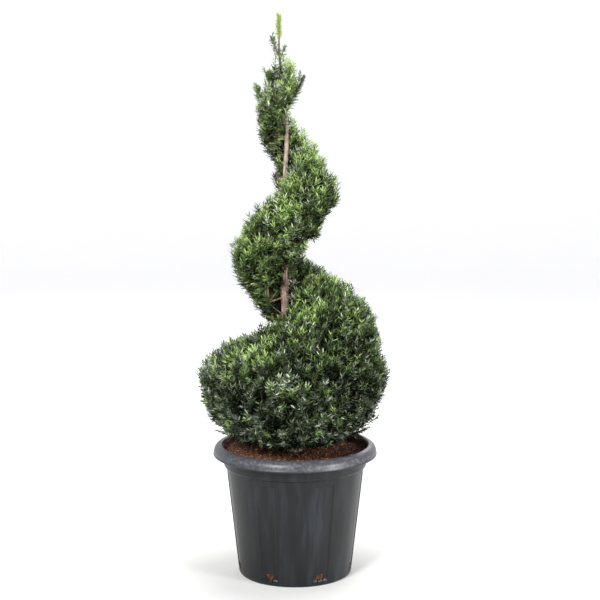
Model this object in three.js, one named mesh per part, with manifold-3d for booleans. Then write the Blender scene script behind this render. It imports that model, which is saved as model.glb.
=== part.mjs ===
// Potted spiral topiary: an upright yew clipped to a rising coil round its own stem, standing
// in a round nursery pot. Units are millimetres, +Z is up, +X is to the right of the front,
// which faces -Y, and the origin is the centre of the pot's flat underside.

import * as THREE from 'three';
import { mergeVertices } from 'three/addons/utils/BufferGeometryUtils.js';
import Module from 'manifold-3d';

const wasm = await Module();
wasm.setup();

const DEG = Math.PI / 180;

// ---- driving dimensions ----

const CLEARANCE = 0.4;          // between solids that rest on each other or pass through
const PARTING = 1.2;            // half the gap between neighbouring clipped masses

const POT = {
  height: 322,
  footRadius: 137,
  bodyRadius: 168,              // just under the collar
  bodyTop: 267,
  collarRadius: 174,
  collarTop: 297,
  rimRadius: 200,
  rimInnerRadius: 179,
  wall: 3,
  floor: 4,
  sides: 42
};

const DRAIN_SLOT = { count: 7, width: 23, height: 26, sill: 5, bevel: 6 };

const SOIL = { level: 304 };

const STEM = {
  top: 1347,
  footRadius: 15,
  flareRadius: 9,               // added at the soil
  flareHeight: 35,              // over which the root flare dies away
  tipRadius: 1.6,
  sides: 10,
  rings: 28
};

// The stem wanders as it climbs: x, y and height of its middle.
const STEM_LINE = [
  [-6, 2, 304], [-16, -2, 480], [-24, 1, 670], [-28, 2, 770], [-24, -1, 950],
  [-20, 0, 1090], [-35, 1, 1230], [-39, 0, 1352]
];

// The clipped cone leans evenly from its foot to its top.
const CONE = { footX: -1, topX: -30, foot: 310, top: 1260 };

// Outer radius, by height, of the full skirt at the foot and of the coil above it.
const BASE_ENVELOPE = [
  [300, 205], [400, 212], [495, 226], [570, 224], [616, 213], [654, 199], [690, 178],
  [730, 157], [770, 134], [800, 118]
];
const COIL_ENVELOPE = [
  [560, 150], [700, 140], [780, 141], [900, 127], [980, 120], [1040, 99], [1110, 68],
  [1190, 53], [1240, 44], [1290, 20]
];

// Angles round the stem are counted in degrees from +X, anticlockwise from above, and run on
// past a full turn as the coil climbs. The groove opens at the back of the left side.
const COIL = { start: -285, end: 375, step: 60, top: 1258, waist: 0.52 };

// Height at the stem of the groove's floor, which is the top of the mass below it.
const GROOVE_FLOOR = [
  [-285, 562], [-180, 606], [-90, 655], [0, 740], [180, 898], [360, 1066], [735, 1430]
];

// Height at the stem of the groove's roof, which is the underside of the mass above it.
const GROOVE_ROOF = [
  [-285, 570], [-240, 608], [-180, 657], [-90, 736], [0, 820], [180, 1037], [270, 1103],
  [375, 1160]
];

// How square the masses' shoulders are: 1 is a straight slope, 2 round and 9 nearly square.
const FLOOR_SHOULDER = [[-285, 9], [-255, 4], [-215, 1.8], [-180, 1.7], [-90, 2.3], [0, 4.5]];
const ROOF_SHOULDER = [[-285, 9], [-255, 5], [-215, 2.2], [-180, 2], [0, 1.6], [90, 1.4]];
const COIL_TOP_SHOULDER = 2;

const BASE = { belly: 495, undercut: 173, shoulder: 2.8, masses: 6 };

const MASS = { underSteps: 6, topSteps: 6, wallSteps: 3, turnSteps: 8, unevenness: 0.05 };

// Limbs that cross the open groove: angle round the stem and how far up the groove they start.
const BOUGHS = [
  [-158, 0.3], [-62, 0.15], [-20, 0.3], [48, 0.2], [120, 0.3]
];
const BOUGH = { radius: 3.6, tipRadius: 2.4, reach: 0.32, sides: 6, rings: 4 };

// Long shoots that stand out of the clipped outline: foot, tip and greatest radius.
const SHOOTS = [
  { on: 'stem', foot: [-37, 0, 1266], tip: [-60, -4, 1312], radius: 5 },
  { on: 'stem', foot: [-35, 1, 1268], tip: [-19, 6, 1296], radius: 5 },
  { on: 'coil_mass_8', foot: [-60, 3, 1130], tip: [-97, 6, 1196], radius: 8 },
  { on: 'coil_mass_9', foot: [-48, -14, 1185], tip: [-70, -22, 1228], radius: 7 },
  { on: 'coil_mass_11', foot: [2, -6, 1180], tip: [27, -8, 1222], radius: 7 }
];

const LEADER = { from: 1290, to: 1356, radius: 12 };

// ---- small helpers ----

function lerp(a, b, t) {
  return a + (b - a) * t;
}

function clamp01(t) {
  return Math.min(1, Math.max(0, t));
}

function readTable(table, at) {
  const last = table.length - 1;
  if (at <= table[0][0]) return table[0][1];
  if (at >= table[last][0]) return table[last][1];
  const i = table.findIndex(([key]) => key > at);
  const [low, high] = [table[i - 1], table[i]];
  return lerp(low[1], high[1], (at - low[0]) / (high[0] - low[0]));
}

// A repeatable wave between -1 and 1, different for each seed.
function waves(seed, a, b) {
  return 0.45 * Math.sin(2.3 * a + 1.7 * seed) + 0.33 * Math.sin(3.9 * b - 2.1 * seed + a)
    + 0.22 * Math.sin(5.1 * a + 4.3 * b + 3.3 * seed);
}

function turnOutwards(geometry) {
  const p = geometry.getAttribute('position');
  const index = geometry.getIndex().array;
  const [a, b, c] = [new THREE.Vector3(), new THREE.Vector3(), new THREE.Vector3()];
  let volume = 0;
  for (let i = 0; i < index.length; i += 3) {
    a.fromBufferAttribute(p, index[i]);
    b.fromBufferAttribute(p, index[i + 1]);
    c.fromBufferAttribute(p, index[i + 2]);
    volume += a.dot(b.cross(c));
  }
  if (volume < 0) {
    for (let i = 0; i < index.length; i += 3) {
      [index[i], index[i + 1]] = [index[i + 1], index[i]];
    }
  }
  return geometry;
}

// Leaves only positions, with shared corners merged and faces outwards: one closed body.
function closedBody(geometry) {
  geometry.deleteAttribute('normal');
  geometry.deleteAttribute('uv');
  return turnOutwards(mergeVertices(geometry, 1e-3));
}

// Moves every vertex of a closed primitive to place(u, v, x, y, z).
function reshape(geometry, place) {
  const p = geometry.getAttribute('position');
  const uv = geometry.getAttribute('uv');
  for (let i = 0; i < p.count; i += 1) {
    const [x, y, z] = place(uv.getX(i), uv.getY(i), p.getX(i), p.getY(i), p.getZ(i));
    p.setXYZ(i, x, y, z);
  }
  return closedBody(geometry);
}

function toManifold(geometry) {
  return new wasm.Manifold(new wasm.Mesh({
    numProp: 3,
    vertProperties: new Float32Array(geometry.getAttribute('position').array),
    triVerts: new Uint32Array(geometry.getIndex().array)
  }));
}

function fromManifold(solid) {
  const mesh = solid.getMesh();
  const geometry = new THREE.BufferGeometry();
  geometry.setAttribute('position', new THREE.BufferAttribute(mesh.vertProperties, 3));
  geometry.setIndex(new THREE.BufferAttribute(mesh.triVerts, 1));
  return geometry;
}

// ---- pot and soil ----

function turned(outline, sides) {
  const points = outline.map(([r, z]) => new THREE.Vector2(r, z));
  return closedBody(new THREE.LatheGeometry(points, sides).rotateX(Math.PI / 2));
}

function potWallRadius(z) {
  return lerp(POT.footRadius, POT.bodyRadius, clamp01(z / POT.bodyTop));
}

function drainSlotCutter(index) {
  const { width, height, sill, bevel, count } = DRAIN_SLOT;
  const half = width / 2;
  const arch = new THREE.Shape([
    new THREE.Vector2(-half, sill), new THREE.Vector2(half, sill),
    new THREE.Vector2(half, height - bevel), new THREE.Vector2(half - bevel, height),
    new THREE.Vector2(-half + bevel, height), new THREE.Vector2(-half, height - bevel)
  ]);
  const depth = 7 * POT.wall;
  const cutter = new THREE.ExtrudeGeometry(arch, { depth, bevelEnabled: false });
  cutter.rotateX(Math.PI / 2);
  cutter.translate(0, -POT.footRadius + 0.7 * depth, 0);
  cutter.rotateZ((index + 0.5) * 2 * Math.PI / count);
  return closedBody(cutter);
}

function potBody() {
  const { height, footRadius, bodyRadius, bodyTop, collarRadius, collarTop } = POT;
  const { rimRadius, rimInnerRadius, wall, floor, sides } = POT;
  const shell = turned([
    [0, 0], [footRadius - 5, 0], [potWallRadius(5), 5],
    [bodyRadius, bodyTop], [collarRadius, bodyTop + 4], [collarRadius + 2, collarTop],
    [rimRadius - 2, collarTop], [rimRadius, collarTop + 4], [rimRadius, height - 8],
    [rimRadius - 3, height - 3], [rimRadius - 9, height], [rimInnerRadius + 4, height - 1],
    [rimInnerRadius, height - 6], [collarRadius - wall, collarTop],
    [bodyRadius - wall, bodyTop - 2], [potWallRadius(floor) - wall, floor], [0, floor]
  ], sides);
  let solid = toManifold(shell);
  for (let i = 0; i < DRAIN_SLOT.count; i += 1) {
    solid = solid.subtract(toManifold(drainSlotCutter(i)));
  }
  return fromManifold(solid);
}

function soilBody() {
  const inset = POT.wall + 2 * CLEARANCE;
  const crest = 6;
  return turned([
    [0, POT.floor + CLEARANCE],
    [potWallRadius(POT.floor) - inset, POT.floor + CLEARANCE],
    [POT.bodyRadius - inset, POT.bodyTop - 2],
    [POT.collarRadius - inset, POT.collarTop],
    [POT.collarRadius - inset, SOIL.level - 2],
    [POT.collarRadius - inset - crest, SOIL.level], [0, SOIL.level]
  ], POT.sides);
}

// ---- stem ----

const stemCurve = new THREE.CatmullRomCurve3(STEM_LINE.map((p) => new THREE.Vector3(...p)));
const stemPoints = stemCurve.getPoints(200).map((p) => [p.z, [p.x, p.y]]);

function stemCentre(z) {
  const after = stemPoints.findIndex(([height]) => height >= z);
  if (after <= 0) return stemPoints[after === 0 ? 0 : stemPoints.length - 1][1];
  const [low, high] = [stemPoints[after - 1], stemPoints[after]];
  const t = (z - low[0]) / (high[0] - low[0]);
  return [lerp(low[1][0], high[1][0], t), lerp(low[1][1], high[1][1], t)];
}

function stemRadius(z) {
  const t = clamp01((z - SOIL.level) / (STEM.top - SOIL.level));
  const flare = STEM.flareRadius * Math.exp(-(z - SOIL.level) / STEM.flareHeight);
  return lerp(STEM.footRadius, STEM.tipRadius, t ** 0.85) + flare;
}

function stemBody(extra = 0) {
  const foot = SOIL.level + CLEARANCE;
  const tube = new THREE.CylinderGeometry(1, 1, 1, STEM.sides, STEM.rings);
  return reshape(tube, (u, v, x, y, z) => {
    const t = y + 0.5;
    const height = lerp(foot, STEM.top, t ** 1.2);
    const [cx, cy] = stemCentre(height);
    const lobe = 1 + 0.12 * Math.sin(4 * Math.atan2(z, x)) * Math.exp(-6 * t);
    const r = stemRadius(height) * lobe + extra;
    return [cx + r * x, cy + r * z, height];
  });
}

// ---- clipped masses ----

function coneX(z) {
  return lerp(CONE.footX, CONE.topX, (z - CONE.foot) / (CONE.top - CONE.foot));
}

// Half of a superellipse, as how far out and how far along its side a point lies.
function shoulder(across, power) {
  return [Math.sin(across) ** (2 / power), Math.cos(across) ** (2 / power)];
}

// A point of a mass's outline in the upright plane through the stem, as its reach from the
// stem's side, 0, to the cone's surface, 1, and its height. Steps run out along the underside,
// back in over the top and down beside the stem.
function outlinePoint(step, section) {
  const { underSteps, topSteps, wallSteps } = MASS;
  const { low, high, waist } = section;
  if (step <= underSteps) {
    const [out, down] = shoulder((step / underSteps) * Math.PI / 2, section.under);
    return [out, waist - (waist - low) * down];
  }
  if (step <= underSteps + topSteps) {
    const turn = (underSteps + topSteps - step) / topSteps;
    const [out, up] = shoulder(turn * Math.PI / 2, section.over);
    return [out, waist + (high - waist) * up];
  }
  return [0, lerp(high, low, (step - underSteps - topSteps) / wallSteps)];
}

// One mass round the stem, from one angle to another, with its own unevenness. The ends lie
// in upright planes, a parting gap short of the neighbours.
function clippedMass(fromAngle, toAngle, seed, sectionAt) {
  const { turnSteps, unevenness } = MASS;
  const outline = MASS.underSteps + MASS.topSteps + MASS.wallSteps;
  const ball = new THREE.SphereGeometry(1, outline, turnSteps);
  return reshape(ball, (u, v) => {
    const ring = Math.round((1 - v) * turnSteps);
    const along = clamp01((ring - 1) / (turnSteps - 2));
    const angle = lerp(fromAngle, toAngle, along);
    const section = sectionAt(angle);
    const isEndMiddle = ring === 0 || ring === turnSteps;
    const [reach, z] = isEndMiddle
      ? [0.45, lerp(section.low, section.high, 0.45)]
      : outlinePoint(Math.round(u * outline) % outline, section);
    const bump = 1 + unevenness * waves(seed, angle * DEG, z / 60);
    const [c, s] = [Math.cos(angle * DEG), Math.sin(angle * DEG)];
    const [x, y] = stemCentre(z);
    const inner = 1.14 * stemRadius(z) + 2;
    const girth = section.girth ?? readTable(section.envelope, z) + c * (coneX(z) - x) - s * y;
    const r = lerp(inner, Math.max(inner, girth * bump), reach);
    const slide = lerp(PARTING, -PARTING, along);
    return [x + r * c - slide * s, y + r * s + slide * c, z];
  });
}

function baseSection(angle) {
  const high = readTable(GROOVE_FLOOR, angle);
  return {
    low: BASE.belly - BASE.undercut,
    high,
    waist: Math.min(BASE.belly, high - 60),
    envelope: BASE_ENVELOPE,
    under: BASE.shoulder,
    over: readTable(FLOOR_SHOULDER, angle)
  };
}

function coilSection(angle) {
  const low = readTable(GROOVE_ROOF, angle);
  const high = Math.min(readTable(GROOVE_FLOOR, angle + 360), COIL.top);
  return {
    low,
    high,
    waist: lerp(low, high, COIL.waist),
    envelope: COIL_ENVELOPE,
    under: readTable(ROOF_SHOULDER, angle),
    over: COIL_TOP_SHOULDER
  };
}

// ---- boughs, shoots and leader ----

// A round limb between two points, bowed upwards, with its radius given along its length.
function limb(foot, tip, sides, rings, radiusAt, bow = 0) {
  const start = new THREE.Vector3(...foot);
  const way = new THREE.Vector3(...tip).sub(start);
  const turn = new THREE.Quaternion().setFromUnitVectors(
    new THREE.Vector3(0, 1, 0), way.clone().normalize());
  const tube = new THREE.CylinderGeometry(1, 1, 1, sides, rings);
  return reshape(tube, (u, v, x, y, z) => {
    const t = y + 0.5;
    const r = radiusAt(t);
    const point = new THREE.Vector3(r * x, 0, r * z).applyQuaternion(turn);
    point.addScaledVector(way, t).add(start);
    point.z += bow * Math.sin(Math.PI * t);
    return point.toArray();
  });
}

function boughBody([angle, startsAt], stemCutter) {
  const low = readTable(GROOVE_FLOOR, angle);
  const high = readTable(GROOVE_ROOF, angle);
  const footZ = lerp(low, high, startsAt);
  const [cx, cy] = stemCentre(footZ);
  const [c, s] = [Math.cos(angle * DEG), Math.sin(angle * DEG)];
  const { radius, tipRadius, reach, sides, rings } = BOUGH;
  const foot = [cx, cy, footZ];
  const out = reach * readTable(COIL_ENVELOPE, high);
  const tip = [cx + out * c, cy + out * s, high - 6];
  const body = limb(foot, tip, sides, rings, (t) => lerp(radius, tipRadius, t), -4);
  return fromManifold(toManifold(body).subtract(stemCutter));
}

function shootBody({ foot, tip, radius }) {
  return limb(foot, tip, 6, 6, (t) => radius * Math.sin(Math.PI * (0.12 + 0.8 * t)) + 0.4);
}

// The leading tuft, in halves that close round the stem's tip.
function tuftSection() {
  const { from, to, radius } = LEADER;
  return { low: from, high: to, waist: lerp(from, to, 0.4), girth: radius, under: 1.6, over: 1.4 };
}

// ---- assembly ----

const FINISH = {
  pot: { color: 0x2b2f35, roughness: 0.5, metalness: 0 },
  soil: { color: 0x4a3023, roughness: 1, metalness: 0 },
  bark: { color: 0x8a7464, roughness: 0.9, metalness: 0 },
  foliage: { color: 0x3c5f34, roughness: 0.85, metalness: 0 },
  leader: { color: 0x9fb45a, roughness: 0.85, metalness: 0 }
};

const topiary = new THREE.Group();

function add(name, geometry, finish) {
  const mesh = new THREE.Mesh(geometry, new THREE.MeshStandardMaterial(FINISH[finish]));
  mesh.name = name;
  topiary.add(mesh);
}

add('pot', potBody(), 'pot');
add('soil', soilBody(), 'soil');
add('stem', stemBody(), 'bark');

const stemCutter = toManifold(stemBody(CLEARANCE));
BOUGHS.forEach((bough, i) => add(`bough_${i + 1}`, boughBody(bough, stemCutter), 'bark'));

for (let i = 0; i < BASE.masses; i += 1) {
  const from = COIL.start + i * COIL.step;
  add(`base_mass_${i + 1}`, clippedMass(from, from + COIL.step, i + 1, baseSection), 'foliage');
}

const coilMasses = (COIL.end - COIL.start) / COIL.step;
for (let i = 0; i < coilMasses; i += 1) {
  const from = COIL.start + i * COIL.step;
  const name = `coil_mass_${i + 1}`;
  let solid = toManifold(clippedMass(from, from + COIL.step, i + 9, coilSection));
  for (const shoot of SHOOTS.filter(({ on }) => on === name)) {
    solid = solid.add(toManifold(shootBody(shoot)));
  }
  add(name, fromManifold(solid), 'foliage');
}

SHOOTS.filter(({ on }) => on === 'stem').forEach((shoot, i) => {
  const solid = toManifold(shootBody(shoot)).subtract(stemCutter);
  add(`side_shoot_${i + 1}`, fromManifold(solid), 'leader');
});

add('leader_tuft_left', clippedMass(90, 270, 31, tuftSection), 'leader');
add('leader_tuft_right', clippedMass(270, 450, 32, tuftSection), 'leader');

export default topiary;
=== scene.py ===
import math

import bpy
import numpy as np
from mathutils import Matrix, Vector, noise
from mathutils.bvhtree import BVHTree


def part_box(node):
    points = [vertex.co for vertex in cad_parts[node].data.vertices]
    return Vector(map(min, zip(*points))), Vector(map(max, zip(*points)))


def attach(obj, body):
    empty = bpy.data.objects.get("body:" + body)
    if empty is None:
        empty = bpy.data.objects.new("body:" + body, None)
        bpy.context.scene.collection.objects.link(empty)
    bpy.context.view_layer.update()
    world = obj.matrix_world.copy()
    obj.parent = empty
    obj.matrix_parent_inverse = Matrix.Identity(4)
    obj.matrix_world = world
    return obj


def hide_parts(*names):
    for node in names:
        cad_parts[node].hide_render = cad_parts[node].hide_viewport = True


# A spiral topiary: an upright yew clipped to a coil round its own stem, in a black nursery pot.
# Lengths are metres, +Z is up, the front faces -Y and the origin is under the pot's middle.

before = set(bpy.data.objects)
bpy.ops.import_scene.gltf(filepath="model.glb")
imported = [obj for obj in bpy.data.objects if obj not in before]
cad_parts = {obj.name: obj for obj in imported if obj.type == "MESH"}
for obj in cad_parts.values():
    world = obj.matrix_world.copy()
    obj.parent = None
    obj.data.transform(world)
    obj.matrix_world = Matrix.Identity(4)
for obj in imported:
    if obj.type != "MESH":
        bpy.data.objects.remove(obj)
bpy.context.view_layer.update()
bpy.ops.object.select_all(action="DESELECT")
up = np.array([0.0, 0.0, 1.0])


def nodePoints(name):
    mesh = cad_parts[name].data
    points = np.empty(len(mesh.vertices) * 3)
    mesh.vertices.foreach_get("co", points)
    return points.reshape(-1, 3)


def nodeTriangles(name):
    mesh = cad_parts[name].data
    mesh.calc_loop_triangles()
    corners = np.empty(len(mesh.loop_triangles) * 3, int)
    mesh.loop_triangles.foreach_get("vertices", corners)
    return nodePoints(name)[corners.reshape(-1, 3)]


def nodesNamed(start):
    return sorted(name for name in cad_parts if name.startswith(start))


def readStem():
    # Height, middle and radius of each ring of the stem's solid.
    points = nodePoints("stem")
    rows = []
    for height in np.unique(points[:, 2].round(4)):
        ring = points[abs(points[:, 2] - height) < 0.0001]
        middle = (ring[:, :2].max(0) + ring[:, :2].min(0)) / 2
        reach = np.linalg.norm(ring[:, :2] - middle, axis=1)
        rows.append((height, middle[0], middle[1], reach[reach > 0.5 * reach.max()].mean()))
    return np.array(rows)


stemRows = readStem()
stemTop = stemRows[-1, 0]
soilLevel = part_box("soil")[1].z


def stemAt(height):
    # The stem's middle at a height, or at each of many.
    heights = np.asarray(height, float)
    x = np.interp(heights, stemRows[:, 0], stemRows[:, 1])
    y = np.interp(heights, stemRows[:, 0], stemRows[:, 2])
    return np.stack([x, y, heights], axis=-1)


def stemRadius(height):
    return np.interp(height, stemRows[:, 0], stemRows[:, 3])


def unit(vectors):
    return vectors / np.maximum(np.linalg.norm(vectors, axis=-1, keepdims=True), 1e-9)


def lengthOf(vectors):
    return np.linalg.norm(vectors, axis=1)


def reachOf(points):
    # How far points are from the stem, level with them.
    return lengthOf(points[:, :2] - stemAt(points[:, 2])[:, :2])


def outwardsAt(points):
    # The level way from the stem to each point.
    return unit((points - stemAt(points[:, 2])) * [1, 1, 0])


def mix(low, high, share):
    return low + (high - low) * share


def smoothStep(low, high, value):
    t = np.clip((value - low) / (high - low), 0, 1)
    return t * t * (3 - 2 * t)


def patches(points, size, seed):
    # Soft random patches of about this size, from -1 to 1, one value for each point.
    shift = Vector((seed * 7.31, seed * 3.17, seed * 5.93))
    return np.array([noise.noise(Vector(p) / size + shift) for p in points]) * 1.6


def addObject(name, data):
    added = bpy.data.objects.new(name, data)
    bpy.context.scene.collection.objects.link(added)
    return added


def meshPiece(name, points, triangles, material, smooth=False):
    mesh = bpy.data.meshes.new(name)
    mesh.vertices.add(len(points))
    mesh.vertices.foreach_set("co", np.ascontiguousarray(points, np.float32).ravel())
    mesh.loops.add(triangles.size)
    mesh.loops.foreach_set("vertex_index", np.ascontiguousarray(triangles, np.int32).ravel())
    mesh.polygons.add(len(triangles))
    mesh.polygons.foreach_set("loop_start", np.arange(0, triangles.size, 3, dtype=np.int32))
    mesh.polygons.foreach_set("use_smooth", np.full(len(triangles), smooth))
    mesh.update(calc_edges=True)
    mesh.materials.append(material)
    return addObject(name, mesh)


def settle(piece, nodes=()):
    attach(piece, "root")
    if nodes:
        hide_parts(*nodes)


def tubes(paths, radii, sides, relief=None):
    # Round limbs along many paths at once: paths are limbs x rings x 3 and radii limbs x rings.
    count, rings = radii.shape
    along = unit(np.gradient(paths, axis=1))
    side = unit(np.cross(along, [0.31, 0.95, 0.04]))
    other = np.cross(along, side)
    turn = np.arange(sides) * 2 * math.pi / sides
    spoke = (side[:, :, None] * np.cos(turn)[:, None]) + (other[:, :, None] * np.sin(turn)[:, None])
    reach = radii[:, :, None] * (1 if relief is None else relief)
    reach = np.broadcast_to(reach, (count, rings, sides))
    points = paths[:, :, None] + spoke * reach[..., None]
    first = (np.arange(rings - 1) * sides)[:, None] + np.arange(sides)
    after = (np.arange(rings - 1) * sides)[:, None] + (np.arange(sides) + 1) % sides
    walls = np.stack([first, after, after + sides, first, after + sides, first + sides], axis=-1)
    fan = np.array([(0, j, j + 1) for j in range(1, sides - 1)])
    tip = fan + (rings - 1) * sides
    faces = np.concatenate([walls.reshape(-1, 3), fan[:, ::-1], tip])
    starts = np.arange(count) * rings * sides
    return points.reshape(-1, 3), (faces[None] + starts[:, None, None]).reshape(-1, 3)


def bentAt(start, middle, end, t):
    # A place along a bent limb from start to end, pulled towards middle.
    return (1 - t) ** 2 * start + 2 * t * (1 - t) * middle + t ** 2 * end


def curved(start, middle, end, rings):
    t = np.linspace(0, 1, rings)[:, None]
    return bentAt(start[:, None], middle[:, None], end[:, None], t)


def hexColour(code):
    # An sRGB hex value as the linear colour that a shader takes.
    channels = [int(code[i:i + 2], 16) / 255 for i in (1, 3, 5)]
    linear = [c / 12.92 if c <= 0.04045 else ((c + 0.055) / 1.055) ** 2.4 for c in channels]
    return (*linear, 1)


def addNode(tree, kind, values=None, links=None, settings=None, stops=None):
    node = tree.nodes.new(kind)
    for key, value in (settings or {}).items():
        setattr(node, key, value)
    for key, value in (values or {}).items():
        node.inputs[key].default_value = value
    for key, source in (links or {}).items():
        tree.links.new(source, node.inputs[key])
    if stops:
        elements = node.color_ramp.elements
        elements[0].position, elements[1].position = stops[0][0], stops[-1][0]
        for place, _ in stops[1:-1]:
            elements.new(place)
        for element, (_, code) in zip(elements, stops):
            element.color = hexColour(code)
    return node


def newMaterial(name, values):
    material = bpy.data.materials.new(name)
    material.use_nodes = True
    tree = material.node_tree
    tree.nodes.clear()
    surface = addNode(tree, "ShaderNodeBsdfPrincipled", values)
    addNode(tree, "ShaderNodeOutputMaterial", links={"Surface": surface.outputs["BSDF"]})
    place = addNode(tree, "ShaderNodeTexCoord").outputs["Object"]
    return material, tree, place


def finished(material, sources):
    # The material with its surface's sockets fed from these outputs.
    tree = material.node_tree
    for key, source in sources.items():
        tree.links.new(source, tree.nodes["Principled BSDF"].inputs[key])
    return material


# Yew needles have a waxy upper side: a soft, broad gloss over a green that varies from one
# part of a spray to the next.
def needleMaterial(name, dark, light, roughness, gloss):
    material, tree, place = newMaterial(
        name, {"Roughness": roughness, "IOR": 1.45, "Specular IOR Level": gloss})
    tone = addNode(tree, "ShaderNodeTexNoise", {"Scale": 70, "Detail": 1}, {"Vector": place})
    ramp = addNode(tree, "ShaderNodeValToRGB", links={"Fac": tone.outputs["Fac"]},
                   stops=[(0.32, dark), (0.68, light)])
    return finished(material, {"Base Color": ramp.outputs["Color"]})


# The deep and shade kinds are painted shade: near-black greens for needles inside the foliage. The
# pale kind is a painted highlight, a whitish grey-green standing in for gloss, and the tip kind is
# the green of young growth, paled in part as painted highlight.
needleFinish = {
    "deep": ("#050803", "#0a1006", 0.7, 0.1),
    "shade": ("#10180a", "#1b2711", 0.5, 0.25),
    "mid": ("#324222", "#495b31", 0.42, 0.38),
    "fresh": ("#4f6733", "#6c8548", 0.4, 0.38),
    "tip": ("#7f9a4f", "#a4ba78", 0.4, 0.38),
    "low": ("#404a39", "#626d57", 0.4, 0.38),
    "pale_highlight": ("#97a48a", "#bcc6b0", 0.4, 0.38),
    "leader": ("#8f9f4f", "#adbb74", 0.45, 0.4),
}
needleMaterials = {
    kind: needleMaterial(f"yew_needles_{kind}", *finish) for kind, finish in needleFinish.items()
}


# Bark of a young yew: thin scales that lift and flake, reddish brown under a grey-pink skin.
# A stem's own bark is redder low down, where it flakes most, paler above and olive at the top.
def barkMaterial(name, under, skin, flake, flakeWidth, paler=None, young=None):
    material, tree, place = newMaterial(name, {"Roughness": 0.85, "IOR": 1.5})
    grain = 1 / flakeWidth
    stretched = addNode(tree, "ShaderNodeMapping", {"Scale": (grain, grain, grain * 0.22)},
                        {"Vector": place}).outputs["Vector"]
    scales = addNode(tree, "ShaderNodeTexNoise", {"Scale": 1, "Detail": 4, "Roughness": 0.62},
                     {"Vector": stretched}).outputs["Fac"]
    colour = addNode(tree, "ShaderNodeValToRGB", links={"Fac": scales},
                     stops=[(0.3, under), (0.5, skin), (0.68, flake)]).outputs["Color"]
    relief = addNode(tree, "ShaderNodeBump", {"Strength": 0.9, "Distance": 0.0016},
                     {"Height": scales})
    if paler:
        height = addNode(tree, "ShaderNodeSeparateXYZ", links={"Vector": place})
        share = addNode(tree, "ShaderNodeMapRange", {"From Min": 0.73, "From Max": 0.9},
                        {"Value": height.outputs["Z"]})
        above = addNode(tree, "ShaderNodeValToRGB", links={"Fac": scales},
                        stops=list(zip((0.32, 0.5, 0.68), paler))).outputs["Color"]
        both = addNode(tree, "ShaderNodeMix", settings={"data_type": "RGBA"},
                       links={"Factor": share.outputs["Result"], 6: colour, 7: above})
        aloft = addNode(tree, "ShaderNodeMapRange", {"From Min": 1.17, "From Max": 1.24},
                        {"Value": height.outputs["Z"]})
        top = addNode(tree, "ShaderNodeMix", {7: hexColour(young)},
                      {"Factor": aloft.outputs["Result"], 6: both.outputs[2]},
                      {"data_type": "RGBA"})
        colour = top.outputs[2]
    return finished(material, {"Base Color": colour, "Normal": relief.outputs["Normal"]})


stemFinish = barkMaterial("yew_stem_bark_flaking", "#4a352e", "#7f665b", "#b09c8f", 0.005,
                          paler=("#5f5146", "#8f8172", "#b5a99b"), young="#6b6743")
barkFinish = barkMaterial("yew_bough_bark", "#4c372f", "#7d6558", "#a38f80", 0.005)
twigFinish = barkMaterial("yew_twig_bark", "#3d3024", "#6a5745", "#948068", 0.004)
stalkFinish = barkMaterial("yew_young_stalk", "#232a16", "#39421f", "#525a33", 0.004)


# Moulded black polypropylene that has stood outside: a soft sheen with drawn streaks down the
# wall, chalky scuffs, and dust on the rim where hands and water leave it.
def potMaterial():
    material, tree, place = newMaterial(
        "black_polypropylene_moulded", {"IOR": 1.49, "Specular IOR Level": 0.36})
    streakSpace = addNode(tree, "ShaderNodeMapping", {"Scale": (38, 38, 3.2)}, {"Vector": place})
    streaks = addNode(tree, "ShaderNodeTexNoise", {"Scale": 1, "Detail": 3, "Roughness": 0.55},
                      {"Vector": streakSpace.outputs["Vector"]})
    scuffs = addNode(tree, "ShaderNodeTexNoise", {"Scale": 150, "Detail": 4, "Roughness": 0.6},
                     {"Vector": place}).outputs["Fac"]
    wall = addNode(tree, "ShaderNodeValToRGB", links={"Fac": streaks.outputs["Fac"]},
                   stops=[(0.32, "#090a0c"), (0.52, "#0f1114"), (0.7, "#1e2228")])
    dusty = addNode(tree, "ShaderNodeValToRGB", links={"Fac": scuffs},
                    stops=[(0.3, "#303136"), (0.52, "#424348"), (0.75, "#66676a")])
    height = addNode(tree, "ShaderNodeSeparateXYZ", links={"Vector": place})
    rimShare = addNode(tree, "ShaderNodeMapRange",
                       {"From Min": potSizes["skirtLow"] - 0.002,
                        "From Max": potSizes["skirtLow"] + 0.006},
                       {"Value": height.outputs["Z"]}).outputs["Result"]
    colour = addNode(tree, "ShaderNodeMix", settings={"data_type": "RGBA"}, links={
        "Factor": rimShare, 6: wall.outputs["Color"], 7: dusty.outputs["Color"]})
    gloss = addNode(tree, "ShaderNodeMapRange", {"To Min": 0.28, "To Max": 0.5},
                    {"Value": scuffs})
    grit = addNode(tree, "ShaderNodeBump", {"Strength": 0.25, "Distance": 0.0006},
                   {"Height": scuffs})
    return finished(material, {"Base Color": colour.outputs[2],
                               "Roughness": gloss.outputs["Result"],
                               "Normal": grit.outputs["Normal"]})


# Potting compost: fibrous peat and bark fines, matt, dark where it holds water.
def compostMaterial(name, dark, brown, fleck):
    material, tree, place = newMaterial(name, {"Roughness": 0.95, "IOR": 1.4})
    grains = addNode(tree, "ShaderNodeTexNoise", {"Scale": 260, "Detail": 4, "Roughness": 0.7},
                     {"Vector": place}).outputs["Fac"]
    ramp = addNode(tree, "ShaderNodeValToRGB", links={"Fac": grains},
                   stops=[(0.34, dark), (0.52, brown), (0.7, fleck)])
    relief = addNode(tree, "ShaderNodeBump", {"Strength": 0.7, "Distance": 0.002},
                     {"Height": grains})
    return finished(material, {"Base Color": ramp.outputs["Color"],
                               "Normal": relief.outputs["Normal"]})


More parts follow.
